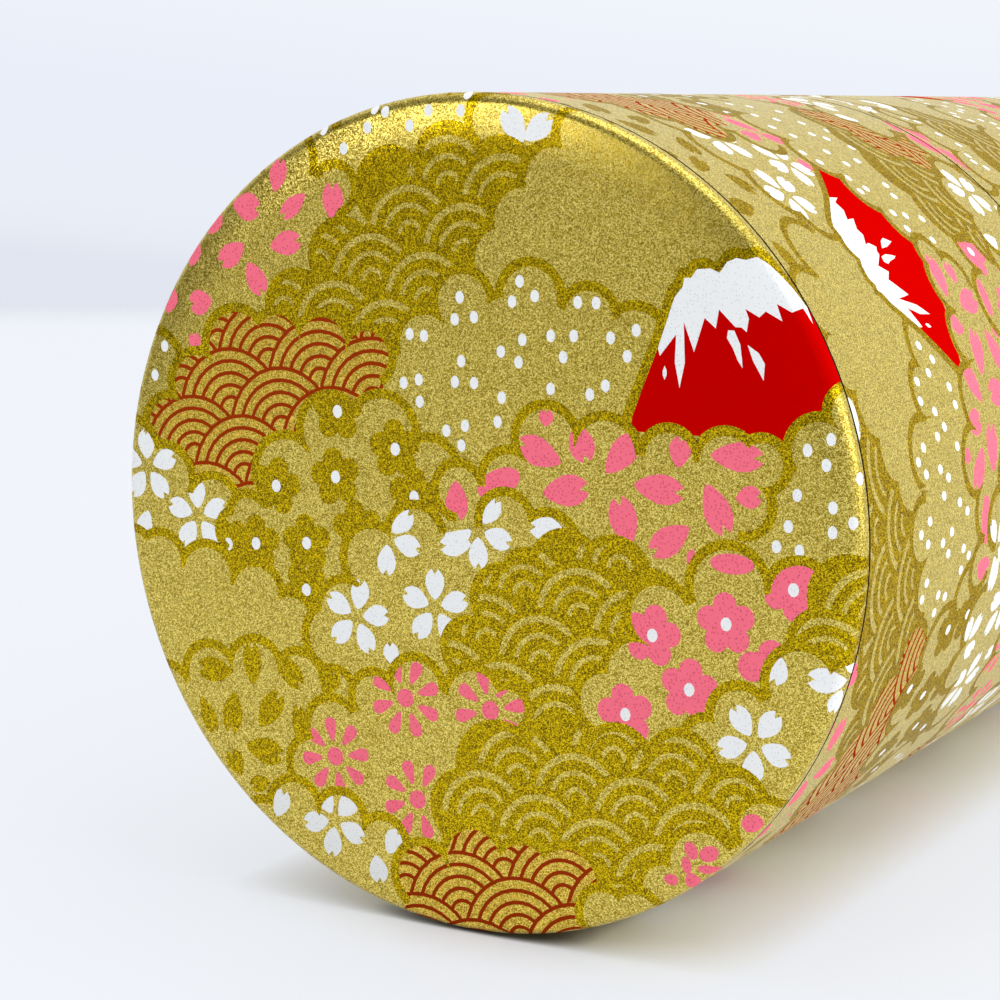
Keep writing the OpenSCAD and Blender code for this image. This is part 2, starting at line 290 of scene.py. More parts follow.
TOP_PRINT = [
    cloud(1, [(-17.5, 34.8, 2.6), (-12, 38.5, 3), (-6, 39.5, 3), (0, 40, 2.5)], [(2, 32), (-18, 30)],
        dots((-11.6, 36.7), (-9.6, 38.2), (-6.9, 36.9), (-4.8, 38.3), (-1.3, 38.3), (-14.3, 34.7),
            (-0.7, 39.9), (-10.9, 38.5), (-16.7, 36.5))),
    cloud(2, [(2.5, 37.5, 2.5), (6.5, 40.5, 3), (10, 38, 2)], [(9, 32), (3, 33)],
        petals("white", (4.4, 37, 122, 3.7, 2.4), (6.9, 36.7, 38, 3.5, 2.2))),
    cloud(3, [(-37, 17, 3), (-33, 24, 3), (-27, 31, 3), (-21, 33.5, 2.8), (-15.4, 30.9, 1.9)],
        [(-14, 22), (-30, 10), (-38, 12)],
        petals("pink", (-22, 32.1, 76, 3.4, 2), (-25.8, 29, -10, 3.3, 2.8), (-20.2, 29.2, 220, 3.6, 1.8),
            (-15.6, 29.6, 92, 3.8, 2.4), (-21.2, 25.5, 12, 3.7, 2.4), (-27.6, 24.3, 215, 3.6, 2.3),
            (-24.8, 22, -60, 3.6, 2.3), (-31.5, 19.4, 190, 2.8, 2.6), (-32.3, 15.4, 100, 1.9, 1.5),
            (-29.8, 27.3, 60, 2.6, 2), (-32.4, 24.2, 80, 2.6, 2), (-35.4, 19.4, 80, 2.6, 2))),
    cloud(4, [(-19.9, 19.4, 2.9), (-14.6, 24.4, 3), (-9, 31, 3.2), (-2.6, 33.5, 3), (3, 32.4, 2.8),
        (7, 32.2, 2.2)], [(8, 24), (-5, 10), (-22, 14)],
        scales=gold_waves((-2.65, 36.05), (6, -1.6), (-4.25, -4.65), (-24, 10, 10, 38))),
    cloud(5, [(3.2, 24.6, 3), (5.4, 28.2, 3.1), (8.6, 32, 3), (11.8, 36.2, 2.6), (17.5, 37, 3.2),
        (24, 33, 3.4), (30, 28, 3.4), (35, 22, 3)], [(38, 14), (30, 10), (12, 12), (2, 18)]),
    cloud(6, [(-7.5, 12.6, 2.7), (-5.2, 16.3, 2.9), (-1.15, 20.5, 2.7), (6.1, 21.2, 2.9), (12.2, 19.6, 2.5),
        (17, 17.5, 3)], [(19, 10), (16, 4), (-3, 1), (-8, 8)],
        dots((5, 22.7), (4.2, 20.8), (6.6, 21.4), (-1.45, 21), (11.1, 21), (13, 21), (-2, 18.9),
            (0.1, 19.2), (-7, 17.3), (-5.4, 17.2), (5.3, 17.3), (8.3, 17.8), (10.7, 17.9), (14.5, 17.9),
            (3, 16.1), (9.6, 15.9), (4.9, 15.2), (-1.3, 15), (-2, 13), (0.1, 13), (-6, 13), (-7.7, 12.6),
            (8.3, 12.9), (14, 13.5), (12.4, 12.6), (3.1, 11.8), (-5.9, 10.9), (2.65, 9.5), (-0.9, 8.9),
            (-2.95, 8.3), (-1.3, 7), (17.1, 18.7), (16.2, 16.3))),
    mountain(7),
    cloud(8, [(-37.5, 13, 3)], [(-34, 8), (-42, 6)], dots((-36.1, 14.8), (-37.4, 11.8))),
    cloud(9, [(-35.4, 6.6, 2.9), (-32, 11.2, 2.9), (-27.2, 15.2, 3.4), (-22.3, 15.9, 2.6), (-17, 15.8, 2.7),
        (-11.8, 15, 2.4)], [(-9.3, 11), (-12, 3), (-24, -3), (-34, 1)],
        red_waves((-21.8, 13.3), (6.1, -1.6), (-4.6, -5), (-38, -4, -8, 20))),
    cloud(10, [(-41, 3.5, 3.5), (-36.4, 1.4, 3), (-30.4, -1.2, 2.8)], [(-26, -4), (-24, -12), (-41, -12)],
        many(sakura, "white", (-32.3, -2.2, 93), (-38.6, 2.4, 20))
            + petals("white", (-39.1, -3.6, 250, 3, 2))),
    cloud(11, [(-27.6, -3.4, 1.7), (-26.2, -1.5, 1.6), (-21.4, 3, 3.3), (-16.1, 7.4, 3.2),
        (-10.2, 7.6, 3.4), (-4.9, 4.2, 2.9)], [(-4, -2), (-12, -10), (-22, -12), (-29, -6)],
        many(ume, "gold_dark", (-15.3, 9.4, 90), (-15.6, 2.95, 100), (-22.65, 1.55, 80), (-19.1, -3.9, 95),
            (-25.2, -4.45, 90), (-13.1, -2, 100), (-8.7, 6.15, 95), (-6.6, 1.65, 85), (-19.2, -8.6, 270),
            (-28.6, -4.8, 120))),
    cloud(12, [(-41, -7.5, 3), (-37.1, -7.2, 2.5), (-31.3, -8.3, 2.9), (-25.3, -9.5, 2.7),
        (-21.2, -12, 2.5)], [(-18.5, -14), (-19, -20), (-38, -22), (-43, -12)]),
    cloud(12.5, [(30, 4, 2.4), (35.2, 8.8, 2.7), (38.2, 12.5, 2), (41, 13, 2)],
        [(43, 8), (42, -4), (30, -4), (27, 0)],
        dots((36.2, 10), (34, 8.9), (35.8, 7.7), (39, 6.7), (33.1, 4.85), (36.5, 4), (38.4, 2.8), (32.3, 2),
            (36.5, 1.8), (31.2, 0.1), (33.4, -0.1))),
    cloud(13, [(-1.6, 2.7, 2.2), (3.9, 3.9, 2.6), (7.85, 8.1, 2.9), (14, 7.2, 3.1), (20.5, 7.2, 2.4),
        (26.2, 7, 2.7), (29.7, 7.3, 2), (28, 3.5, 2.3)], [(26, -6), (20, -4), (8, -4), (-2, -1)],
        petals("pink", (7.85, 10.15, 90, 1.6, 1.6), (7.15, 6.9, 160, 4.9, 2.8), (11.5, 8.1, -70, 3.7, 2.7),
            (-1.85, 1.7, 272, 3.8, 2.5), (9.9, 3.5, 10, 4.9, 3), (15.7, 7.3, 49, 4.9, 2.6),
            (21.6, 7.9, 84, 2.9, 2.2), (27.2, 7.85, 0, 5.2, 2.7), (19.5, 4.4, -5, 5.1, 2.8),
            (28.4, 4.3, 8, 2.5, 2.1), (25.3, 3, -65, 4.9, 2.8), (16, 1.1, 106, 4.7, 2.9),
            (20.7, -0.2, 215, 4.7, 2.7), (22.9, -1.6, 60, 1.6, 1.1))
            + [(("round", 2.75, 3.7, 2.5, 1.3, 0.44, 16), "pink")]),
    cloud(15, [(-16, -13, 2.9), (-14.5, -10.4, 2.9), (-11.3, -4.8, 3), (-6.5, -2.3, 2.8), (3.5, 0, 2.5),
        (8.1, -1.9, 2.8)], [(9, -6), (0, -14), (-8, -18), (-16, -17)],
        many(sakura, "white", (-13.3, -10.7, 80), (-4.3, -8.9, 90), (0.5, -0.9, 55))
            + [sakura("white", -9.6, -2.5, turn)[0] for turn in (45, -15, 266)]
            + petals("white", (-1.95, -2.6, 188, 3.5, 2.2), (7.85, -0.1, 182, 3.5, 2.4),
                (-9.3, -14, 100, 2.2, 1.8))),
    cloud(16, [(-0.5, -12.5, 2.3), (3.3, -7.5, 2.8), (6, -5.2, 2.2), (10, -4, 3.1), (15, -4.2, 3.1),
        (19, -6.5, 2.6)], [(20, -10), (18, -24), (2, -24), (-3, -15)],
        scales=gold_waves((11.5, -3.6), (5.9, -1.5), (-4.1, -4.9), (-4, -26, 22, 0))),
    cloud(18, [(14.3, -16, 2.7), (17.5, -13, 3), (19.7, -7.4, 2.9), (26.6, -4.1, 3.5), (33.5, -4.2, 2.8)],
        [(35, -9), (31, -14), (24, -19), (16, -20)],
        many(ume, "pink", (19, -9.2, 80), (26.4, -7.4, 95), (32.9, -3.65, 60), (22.8, -13.85, 85),
            (16.3, -16.95, 100))
            + blobs("pink", 14, (29, -11, 1.4, 1.4, 0), (30.9, -9.7, 1.35, 1.35, 0),
                (26.9, -1.85, 2.2, 0.95, 0))),
    cloud(18.5, [(35.9, -8.6, 2.8), (38.2, -4, 3.1), (42, -3, 2.5)], [(43, -12), (34, -13)],
        scales=gold_waves((36.2, -5.8), (6, -1.5), (-4.2, -4.7), (32, -14, 44, 0))),
    cloud(19, [(24.8, -18.9, 2.3), (27.9, -15.9, 2.6), (33.8, -12.2, 3.1), (38.5, -12.5, 2.5)],
        [(41, -14), (34, -27), (28, -25), (24, -22)],
        sakura("white", 29.35, -18, 52) + petals("white", (31.5, -11.1, 250, 2.6, 2.2),
            (36.3, -11.5, 180, 3.8, 2.3), (37.2, -13.4, 250, 2.4, 1.6), (38.7, -10, 100, 2.2, 1.6))),
    cloud(20, [(-36.5, -21, 2.6), (-31.1, -18.4, 2.7), (-25.5, -17.4, 2.8), (-20.2, -17.7, 2.4),
        (-16, -18.6, 2)], [(-16, -22), (-20, -32), (-28, -36), (-39, -26)],
        petals("gold_dark", (-30.5, -17.9, 180, 4.4, 2.6), (-25.9, -16.8, 92, 4.4, 2.3),
            (-21.4, -17, -45, 4.4, 2.4), (-28.4, -22.1, -98, 4.5, 2.5), (-23.8, -21.3, 55, 4.6, 2.6),
            (-24.5, -25.6, -8, 4.6, 2.8), (-31.5, -22.7, -65, 4.1, 1.9), (-20.3, -22.3, 90, 4, 1.6),
            (-28.1, -27.3, 120, 2.8, 2.2), (-25.1, -29.1, 200, 2.6, 1.8), (-16.6, -17.6, 60, 3, 2.4),
            (-16.8, -20.4, 270, 2.6, 2))),
    cloud(21, [(-18.4, -26.3, 2.6), (-16.2, -22.3, 2.7), (-11.3, -18.6, 2.2), (-6.5, -17, 2.6),
        (0, -17.5, 2.8), (3.8, -17.9, 1.8)], [(3, -23), (-3, -34), (-14, -33), (-20, -29)],
        many(kiku, "pink", (-15.95, -25.1, 10), (-7.7, -18.2, 22), (1.85, -18.3, 15), (-6.35, -28.2, 20))),
    cloud(22, [(-0.9, -28.3, 3.1), (2.8, -23.9, 3.9), (9.5, -21.5, 3.2), (15.5, -21.7, 3), (22, -21.4, 3),
        (26.9, -24.6, 3.5)], [(28, -28), (22, -36), (8, -38), (-1, -34)],
        scales=gold_waves((11.25, -21.3), (6.3, -1.5), (-3.9, -4.5), (-4, -38, 30, -18))),
    cloud(23, [(-24.5, -33.5, 2.4), (-20.9, -31.1, 2.65), (-15.4, -31.5, 2.5), (-10.4, -33.2, 2.3)],
        [(-7, -37), (-12, -42), (-24, -38)],
        sakura("white", -16.1, -31.65, 48) + petals("white", (-22.65, -30.85, 70, 3, 2.2),
            (-9.2, -32.9, 60, 2.8, 2.2), (-11, -35.9, 280, 2.8, 2.2))),
    cloud(24, [(-5.6, -35.8, 3), (0, -33.3, 3), (5.5, -33.8, 2.8), (10.3, -34, 3.2)],
        [(14, -38), (5, -44), (-9, -41)],
        red_waves((-1.15, -32.8), (6.45, -1.6), (-4.65, -4.9), (-9, -42, 14, -30))),
    cloud(25, [(20.5, -33, 2.2), (24.3, -30.3, 3.2), (30.5, -26, 2.5)], [(34, -26), (28, -35), (20, -38)],
        blobs("pink", 12, (23.2, -28.95, 0.9, 0.65, 120), (25, -29, 1.05, 0.75, 25),
            (22.75, -30.4, 0.85, 0.5, 100), (25.1, -30.6, 1.25, 0.5, -5), (23.4, -32, 1, 0.75, -70),
            (21.2, -32, 0.75, 0.55, 0), (29.3, -25.5, 1.1, 0.9, 20))),
    cloud(26, [(14.2, -36.5, 2.2), (17.6, -36.2, 2.2)], [(20, -40), (12, -41)]),
]

# ----------
# The print as it lies on the side: x runs round the caddy, anticlockwise from +X, and y up, 0 at the lid's
# top. It is the same print, with more clouds on the right and below.
LEFT_OUT = (8, 10, 12, 12.5, 20)  # clouds of the top that the side draws in another way


def carried(item, rank, turn, dx, dy):
    """A cloud put in another place."""
    place = {key: [moved(shape, turn, dx, dy) for shape in item[key]] for key in ("band", "body")}
    marks = [(moved(shape, turn, dx, dy), ink) for shape, ink in item["marks"]]
    return {"rank": rank, "ground": item["ground"], "marks": marks, **place}


def on_side(item):
    """A cloud of the top's print, put where the side's print has it."""
    dx, dy = -TOP_FROM_SIDE[0], -TOP_FROM_SIDE[1]
    c, s = math.cos(-TURN), math.sin(-TURN)
    return carried(item, item["rank"], -TURN, dx * c - dy * s, dx * s + dy * c)


SIDE_PRINT = [on_side(item) for item in TOP_PRINT if item["rank"] not in LEFT_OUT] + [
    cloud(4.5, [(24, 1, 3), (30, 2, 3), (36, 3, 3.5), (43, 3, 3.5), (50, 2, 3.5)],
        [(56, -4), (52, -14), (30, -14), (22, -6)],
        petals("gold_dark", (33.8, -2, 90, 4, 2.4), (28, -2.2, 200, 3.6, 2.2), (36.8, -6.6, 220, 3.6, 2.4),
            (43, -6.2, 150, 3.8, 2.4), (39.8, -3, 300, 3.6, 2.2), (46.8, -2.8, 205, 4.2, 2.6),
            (52, -4, 140, 4.2, 2.6), (48.6, -6.6, 100, 3.4, 2.2), (42, 0.6, 60, 3.6, 2.2))),
    cloud(5.6, [(32.3, -15.4, 2.6), (35.8, -13, 3.2), (42, -12.4, 3.5), (48.6, -13.6, 3.8),
        (54.5, -15.5, 3)], [(56, -24), (40, -29), (34, -26)],
        many(sakura, "white", (35, -13.6, 85), (44, -14.4, 60), (39.4, -21.4, 100), (52, -14.5, 75))
            + petals("pink", (38.8, -25.4, 20, 2.4, 1.8))),
    cloud(6.6, [(44, -23.4, 2.4), (49, -22.2, 3.4), (55, -24, 3.4)], [(58, -34), (44, -34), (41.5, -27)],
        petals("pink", (44.6, -23.4, 100, 3.2, 2.2), (43.8, -27, 240, 3.4, 2.2), (47, -25.6, 30, 4, 2.4),
            (49.6, -21.4, 170, 4, 2.4), (50.4, -27.8, 110, 4.2, 2.6), (54, -24, 60, 4.2, 2.6),
            (47.4, -30, 150, 3.6, 2.4), (56, -29, 200, 4, 2.6))),
    cloud(12.6, [(30.7, -34.3, 2.7), (34.6, -31.8, 2.3), (40.3, -30.4, 3), (46.5, -32, 3.4),
        (53, -35, 3.2)], [(57, -45), (28, -48), (27, -38)],
        dots((39.3, -29.5), (41, -28.6), (34.6, -31), (36.6, -31.5), (44.3, -32.8), (46.3, -31.7),
            (29.3, -34), (31.4, -33.8), (38.8, -35.3), (41, -34.6), (34.9, -33), (30.9, -36.3),
            (48.2, -36.7), (49.5, -34), (27.6, -38.2), (33.6, -38), (35.2, -38.8), (39.2, -39),
            (43.5, -39.7), (44.5, -38), (30.3, -39.8), (25.5, -40.7), (47.2, -41), (52.5, -39),
            (36.4, -41.6), (41.6, -42.4), (53.6, -36.4), (50.6, -42.4), (45.2, -43.6))),
    cloud(18.6, [(31, -45.6, 3.2), (37, -45, 3.4), (42.5, -46.6, 3), (48, -48.5, 3)],
        [(50, -54), (38, -58), (24, -56)],
        scales=gold_waves((31, -43), (5.7, -1), (-3.6, -5.2), (22, -58, 52, -41))),
    cloud(19.2, [(39.8, -55.5, 2.6), (42.8, -51.6, 3.2), (48.4, -50.6, 3.4), (54.5, -52, 3.2),
        (60, -54.6, 3)], [(64, -64), (39, -64)],
        red_waves((43, -49.6), (6.1, -0.4), (-4.4, -5.4), (37, -66, 64, -46))),
    cloud(19.3, [(27.6, -55.3, 2.5), (32.5, -56.6, 3.2), (35.8, -60, 2.6)],
        [(37, -68), (28, -70), (23, -60)],
        sakura("white", 33.3, -58.8, 80) + petals("white", (26.5, -53.8, 100, 3.4, 2.2),
            (29.5, -63.6, 200, 3.4, 2.2), (35.6, -64.4, 300, 3.2, 2.2))),
    cloud(20.6, [(35.6, -66.4, 2.4), (41, -64.4, 3.3), (47.6, -64, 3.5), (54.2, -64.6, 3.2),
        (60.2, -66.6, 2.8)], [(62, -76), (34, -78)],
        petals("pink", (41.8, -63.9, 20, 5, 2.9), (46.8, -63.2, 160, 5, 2.9), (51.6, -65, 30, 5, 2.9),
            (38.8, -66.8, 200, 4.8, 2.7), (44.6, -66.7, 350, 5.2, 2.9), (49.6, -68.2, 170, 5.2, 2.9),
            (55.4, -63.9, 80, 4.4, 2.7), (54.6, -68.8, 15, 4.8, 2.8), (41, -70, 160, 4.8, 2.8),
            (46.2, -70.6, 20, 5, 2.9), (36, -70.2, 80, 4.6, 2.7), (51.4, -72.2, 200, 4.8, 2.7),
            (59.4, -67.4, 120, 4.4, 2.6), (42.8, -73.8, 190, 4.6, 2.6), (38.6, -74, 40, 4.4, 2.6),
            (47.8, -75.2, 330, 4.6, 2.6), (56, -73.2, 160, 4.6, 2.6))),
    cloud(21.6, [(36.4, -76.6, 2.6), (42, -75.8, 3.4), (48.6, -76, 3.4), (54.6, -77.4, 3)],
        [(58, -86), (35, -88)]),
    cloud(14.2, [(-35, -57, 3), (-29.4, -54.6, 3.2), (-23, -56.4, 3)], [(-20, -68), (-38, -68)],
        many(ume, "pink", (-29.6, -57, 80), (-24, -60.6, 100), (-32.4, -63, 60), (-35.6, -58.6, 20))),
    cloud(23.4, [(2.4, -70.4, 3), (8.6, -68.6, 3.4), (14.8, -69.4, 3)], [(18, -82), (0, -82)],
        dots((3, -70), (5.2, -71.6), (8.4, -67.4), (9.8, -70.2), (13.4, -68.6), (14.8, -71.4), (6.6, -74.6),
            (11, -74), (2.6, -75.4), (15.2, -76.2), (8.4, -78.2), (12.6, -79.4), (4.4, -79.6))),
    cloud(23.2, [(16.6, -64.6, 2.8), (22, -62.4, 3.2), (27.4, -65, 2.8)], [(30, -78), (16, -78)],
        many(kiku, "gold_dark", (21.6, -66.2, 12), (26.8, -72, 30), (19, -73.4, 0))),
    cloud(23.6, [(-20.4, -71.4, 2.8), (-14.6, -69.4, 3.2), (-8, -69.8, 3.2), (-2.4, -72.2, 2.6)],
        [(-1, -84), (-22, -84)],
        red_waves((-14.6, -67.4), (6.2, -0.8), (-4.4, -5.2), (-24, -86, 2, -64))),
    cloud(22.8, [(-36, -69, 3), (-30.4, -66.6, 3), (-24.6, -68.6, 3)], [(-20, -82), (-38, -82)],
        many(sakura, "white", (-30.6, -70, 70), (-24.4, -73.6, 30), (-35, -76.4, 100))),
    cloud(24.2, [(19.4, -77.6, 2.8), (24.8, -75.4, 3), (30.4, -76.4, 3)], [(34, -90), (18, -90)],
        scales=gold_waves((24.8, -73.8), (5.8, -1.2), (-4, -4.8), (16, -92, 36, -72))),
]


def copies(items, x0, y0, x1, y1):
    """The clouds of a repeating print that reach into a box, each row lower down drawn over the row above."""
    found = []
    for row in range(-1, 4):
        for k in range(-4, 8):
            dx, dy = k * REPEAT + row * REPEAT / 2, -row * ROW
            for item in items:
                reach = np.array([reach_of(shape) for shape in item["band"] + item["body"]])
                if reach[:, 0].min() + dx > x1 or reach[:, 2].max() + dx < x0:
                    continue
                if reach[:, 1].min() + dy > y1 or reach[:, 3].max() + dy < y0:
                    continue
                found.append(carried(item, item["rank"] + 100 * row + 0.001 * k, 0, dx, dy))
    return found


INKS = ["gold", "gold_dark", "gold_warm", "pink", "white", "red", "red_line", "edge"]
INK_NUMBER = {name: k for k, name in enumerate(INKS)}


def ink_at(items, p):
    """The number of the ink at each of the points p (n x 2)."""
    order = np.argsort(p[:, 0])
    p = p[order]
    ink = np.full(len(p), INK_NUMBER["gold"])
    for item in sorted(items, key=lambda one: one["rank"]):
        for shape in item["band"]:
            ink[hits(shape, p)] = INK_NUMBER["gold_dark"]
        body = np.zeros(len(p), bool)
        for shape in item["body"]:
            body[hits(shape, p)] = True
        ink[body] = INK_NUMBER[item["ground"]]
        for shape, name in item["marks"]:
            found = hits(shape, p)
            ink[found[body[found]]] = INK_NUMBER[name]
    unsorted = np.empty_like(ink)
    unsorted[order] = ink
    return unsorted


CLOSE = 1e-4  # points nearer than this are one
SLIVER = 1e-9  # triangles smaller than half of this are left out
PROBE = 0.002  # how far beside a line the inks are read
PROBES = (0.06, 0.35, 0.65, 0.94)  # and where along it


def ink_lines(items, x0, y0, x1, y1):
    """The straight pieces of outline at which the ink changes, inside a box, as two n x 2 arrays of ends."""
    starts, ends = [], []
    for item in items:
        for shape in item["band"] + item["body"]:
            a = corners_of(shape)
            starts.append(a)
            ends.append(np.roll(a, -1, 0))
        if item["marks"]:
            rings = [corners_of(shape) for shape, _ in item["marks"]]
            a = np.concatenate(rings)
            b = np.concatenate([np.roll(ring, -1, 0) for ring in rings])
            inner = within(item["body"], a) | within(item["body"], b) | within(item["body"], (a + b) / 2)
            starts.append(a[inner])
            ends.append(b[inner])
    a, b = np.concatenate(starts), np.concatenate(ends)
    keep = (np.maximum(a[:, 0], b[:, 0]) > x0) & (np.minimum(a[:, 0], b[:, 0]) < x1)
    keep &= (np.maximum(a[:, 1], b[:, 1]) > y0) & (np.minimum(a[:, 1], b[:, 1]) < y1)
    a, b = a[keep], b[keep]
    along = b - a
    length = np.hypot(along[:, 0], along[:, 1])
    a, b, along, length = (v[length > CLOSE] for v in (a, b, along, length))
    across = np.stack([-along[:, 1], along[:, 0]], 1) / length[:, None] * PROBE
    spots = [a + along * t for t in PROBES]
    sides = [spot + across for spot in spots] + [spot - across for spot in spots]
    inks = ink_at(items, np.concatenate(sides))
    left, right = inks.reshape(2, len(spots), len(a))
    changes = (left != right).any(0)
    return a[changes], b[changes]


# ----------
# From the flat print to sheets of paper
ARC_START = RADIUS - ROUND  # where the top's flat part ends
ARC_END = ARC_START + ROUND * math.pi / 2
TOP_END = ARC_END + (HEIGHT - ROUND - TOP_SEAM)
CROWN_START = 33.5  # outside this radius the lid's top begins to fall off towards its rim
CROWN = math.radians(13)  # by how much its surface is tilted where the rounding begins
CROWN_CURVE = 1.4
CROWN_STEPS = 4
ROUND_STEPS = 7
RING_CORNERS = 144
STRIP_COLUMNS = 40
LINING_GAP = 0.005  # in the unwrapped sheet, the lining lies this far above the print
LINING_GROW = 0.0002  # and its rows this far apart for each millimetre of height


def place_top(p):
    """The top's flat sheet, laid over the lid's top and rolled down over its rim: points and normals."""
    rho, a = np.hypot(p[:, 0], p[:, 1]), np.arctan2(p[:, 1], p[:, 0])
    bend = np.clip((rho - ARC_START) / ROUND, 0, math.pi / 2)
    r = np.minimum(rho, ARC_START) + ROUND * np.sin(bend)
    z = HEIGHT - ROUND * (1 - np.cos(bend)) - np.maximum(rho - ARC_END, 0)
    points = np.stack([r * np.cos(a), r * np.sin(a), z], 1)
    crown = np.clip((rho - CROWN_START) / (ARC_START - CROWN_START), 0, 1)
    tilt = CROWN * crown ** CROWN_CURVE * (1 - bend / (math.pi / 2)) + bend
    normals = np.stack([np.sin(tilt) * np.cos(a), np.sin(tilt) * np.sin(a), np.cos(tilt)], 1)
    return points, normals


def place_side(p):
    a = p[:, 0] / RADIUS
    normals = np.stack([np.cos(a), np.sin(a), np.zeros(len(a))], 1)
    return normals * RADIUS + np.array([0, 0, 1]) * (SIDE_ZERO + p[:, 1:2]), normals


def cut(items, window, guides):
    """Triangles of the print inside a window shape, cut along every line where the ink changes and along the
    guide lines: (points, triangles, ink numbers)."""
    x0, y0, x1, y1 = reach_of(window)
    a, b = ink_lines(items, x0, y0, x1, y1)
    for points in guides:
        points = np.array(points, float)
        a, b = np.concatenate([a, points[:-1]]), np.concatenate([b, points[1:]])
    n = len(a)
    flat = np.concatenate([a, b])
    ends = [(k, k + n) for k in range(n)]
    found = delaunay_2d_cdt([Vector(p) for p in flat], ends, [], 0, CLOSE)
    points, triangles = np.array([tuple(v) for v in found[0]]), np.array(found[2])
    middle = points[triangles].mean(1)
    order = np.argsort(middle[:, 0])
    triangles, middle = triangles[order], middle[order]
    keep = hits(window, middle)
    triangles, middle = triangles[keep], middle[keep]
    corner = points[triangles]
    u, v = corner[:, 1] - corner[:, 0], corner[:, 2] - corner[:, 0]
    area = u[:, 0] * v[:, 1] - u[:, 1] * v[:, 0]
    triangles[area < 0] = triangles[area < 0][:, ::-1]
    sound = np.abs(area) > SLIVER
    ids, where = np.unique(triangles[sound], return_inverse=True)
    return points[ids], where.reshape(-1, 3), ink_at(items, middle)[sound]


def lining(profile):
    """A sheet's inner face and edges: a profile of (radius, height) points turned round the axis."""
    n = RING_CORNERS
    a = np.arange(n) * 2 * math.pi / n
    points, normals, quads = [], [], []
    for (r0, z0), (r1, z1) in zip(profile, profile[1:]):
        out = np.array([z1 - z0, -(r1 - r0)], float)
        out /= np.hypot(*out)
        start = len(points) * n
        for r, z in ((r0, z0), (r1, z1)):
            points.append(np.stack([r * np.cos(a), r * np.sin(a), np.full(n, z)], 1))
            normals.append(np.stack([out[0] * np.cos(a), out[0] * np.sin(a), np.full(n, out[1])], 1))
        for k in range(n):
            m = (k + 1) % n
            quads.append((start + k, start + m, start + n + m, start + n + k))
    return np.concatenate(points), np.concatenate(normals), quads


def paper_piece(name, parts, profile, body, node):
    """One sheet of printed paper. parts are (points, normals, triangles, inks, places in the flat print)."""
    faces = []
    count = 0
    for part in parts:
        faces += (part[2] + count).tolist()
        count += len(part[0])
    inner, inner_normals, quads = lining(profile)
    faces += [tuple(count + k for k in quad) for quad in quads]
    points = np.concatenate([part[0] for part in parts] + [inner]) * MM
    normals = np.concatenate([part[1] for part in parts] + [inner_normals])
    # the inner face and edges of each sheet get the near-black edge ink, a painted shade for the seams
    inks = np.concatenate([part[3] for part in parts] + [np.full(len(quads), INK_NUMBER["edge"])])
    flat = np.concatenate([part[4] for part in parts])
    low = flat.min(0)
    size = flat.max(0) - low
    span = size.max()
    u = np.arctan2(inner[:, 1], inner[:, 0]) / (2 * math.pi) + 0.5
    v = size[1] / span + LINING_GAP + LINING_GROW * (inner[:, 2] - inner[:, 2].min())
    flat = np.concatenate([(flat - low) / span, np.stack([u, v], 1)])
    mesh = bpy.data.meshes.new(name)
    mesh.from_pydata(points.tolist(), [], faces)
    mesh.polygons.foreach_set("material_index", inks.astype(np.int32))
    mesh.polygons.foreach_set("use_smooth", np.ones(len(mesh.polygons), bool))
    for material in INK_MATERIALS:
        mesh.materials.append(material)
    loops = np.zeros(len(mesh.loops), np.int32)
    mesh.loops.foreach_get("vertex_index", loops)
    layer = mesh.uv_layers.new(name="OFBake")
    layer.data.foreach_set("uv", flat[loops].astype(np.float32).ravel())
    mesh.update()
    mesh.normals_split_custom_set_from_vertices(normals.tolist())
    piece = bpy.data.objects.new(name, mesh)
    bpy.context.scene.collection.objects.link(piece)
    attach(piece, body)
    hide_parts(node)


def top_sheet(name, body, node):
    middle = -np.array(TOP_SHIFT) / TOP_GROW  # where the print meets the lid's centre

    def ring(rho):
        a = np.arange(RING_CORNERS + 1) * 2 * math.pi / RING_CORNERS
        return middle + rho / TOP_GROW * np.stack([np.cos(a), np.sin(a)], 1)

    rings = [ring(CROWN_START + (ARC_START - CROWN_START) * k / CROWN_STEPS) for k in range(CROWN_STEPS)]
    rings += [ring(ARC_START + (ARC_END - ARC_START) * k / ROUND_STEPS) for k in range(ROUND_STEPS + 1)]
    window = ("round", *middle, TOP_END / TOP_GROW, TOP_END / TOP_GROW, 0.0, RING_CORNERS)
    points, triangles, inks = cut(TOP_PRINT, window, rings + [ring(TOP_END)])
    points = points * TOP_GROW + np.array(TOP_SHIFT)
    placed, normals = place_top(points)
    inner = RADIUS - PAPER
    arc = [
        (ARC_START + (ROUND - PAPER) * math.sin(t), HEIGHT - ROUND + (ROUND - PAPER) * math.cos(t))
        for t in (math.pi / 2 * k / ROUND_STEPS for k in range(ROUND_STEPS, -1, -1))
    ]
    profile = [(RADIUS, TOP_SEAM), (inner, TOP_SEAM)] + arc + [(0.001, HEIGHT - PAPER)]
    paper_piece(name, [(placed, normals, triangles, inks, points)], profile, body, node)


def side_sheet(name, z0, z1, body, node):
    """Three equal strips of the repeating print round the side, between two heights."""
    y0, y1 = z0 - SIDE_ZERO, z1 - SIDE_ZERO
    items = copies(SIDE_PRINT, 0, y0, REPEAT, y1)
    columns = [REPEAT * k / STRIP_COLUMNS for k in range(STRIP_COLUMNS + 1)]
    guides = [[(x, y0), (x, y1)] for x in columns]
    guides += [[(x, y) for x in columns] for y in (y0, y1)]
    window = outline([(0, y0), (REPEAT, y0), (REPEAT, y1), (0, y1)])
    points, triangles, inks = cut(items, window, guides)
    parts = []
    for k in range(3):
        flat = points + np.array([k * REPEAT, 0])
        placed, normals = place_side(flat)
        parts.append((placed, normals, triangles, inks, flat))
    inner = RADIUS - PAPER
    profile = [(RADIUS, z0), (inner, z0), (inner, z1), (RADIUS, z1)]
    paper_piece(name, parts, profile, body, node)


